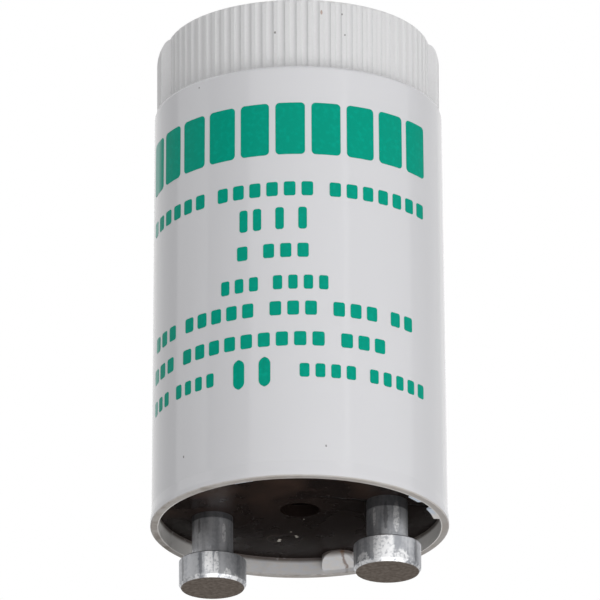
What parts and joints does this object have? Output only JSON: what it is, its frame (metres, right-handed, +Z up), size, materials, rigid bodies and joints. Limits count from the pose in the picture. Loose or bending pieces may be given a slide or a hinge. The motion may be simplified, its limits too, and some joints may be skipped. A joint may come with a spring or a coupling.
{
  "type": "fluorescent starter",
  "caption": "Glow starter for a fluorescent lamp: round moulded canister with a ribbed grip at its top and flanged contact pins under a recessed disc.",
  "frame": {"origin": "midway between the end faces of the contact pins, at the height of those faces", "axes": "+Z up along the canister's axis from the pins to the crown; +X through both pins, from the left pin to the right one; -Y towards the side that carries the print"},
  "size_m": [0.021, 0.021, 0.0403],
  "materials": {
    "canister_plastic": "white moulded thermoplastic, glossy on the tube, matte on the grip",
    "phenolic": "dark phenolic board with a dull shine and scratches",
    "pin_aluminium": "turned, dulled and streaked, bright at the worn bevel, brown end face",
    "tag_brass": "stamped brass",
    "solder": "dull tin solder",
    "bulb_glass": "clear drawn glass",
    "lead_in_copper": "copper-sheathed wire",
    "bimetal": "rolled bimetal",
    "electrode_nickel": "drawn nickel wire",
    "capacitor_epoxy": "dipped epoxy",
    "tinned_wire": "tinned copper wire",
    "sleeve_plastic": "extruded sleeve"
  },
  "bodies": {
    "root": {"canister": "canister_plastic", "base_disc": "phenolic", "contact_pin_left": "pin_aluminium", "contact_pin_right": "pin_aluminium", "terminal_tag_left": "tag_brass", "terminal_tag_right": "tag_brass", "solder_left": "solder", "solder_right": "solder", "glow_bulb": "bulb_glass", "bulb_stem": "bulb_glass", "lead_in_wire_left": "lead_in_copper", "lead_in_wire_right": "lead_in_copper", "bimetal_strip": "bimetal", "fixed_electrode": "electrode_nickel", "capacitor": "capacitor_epoxy", "capacitor_lead_left": "tinned_wire", "capacitor_lead_right": "tinned_wire", "lead_sleeve_left": "sleeve_plastic", "lead_sleeve_right": "sleeve_plastic"}
  },
  "joints": []
}
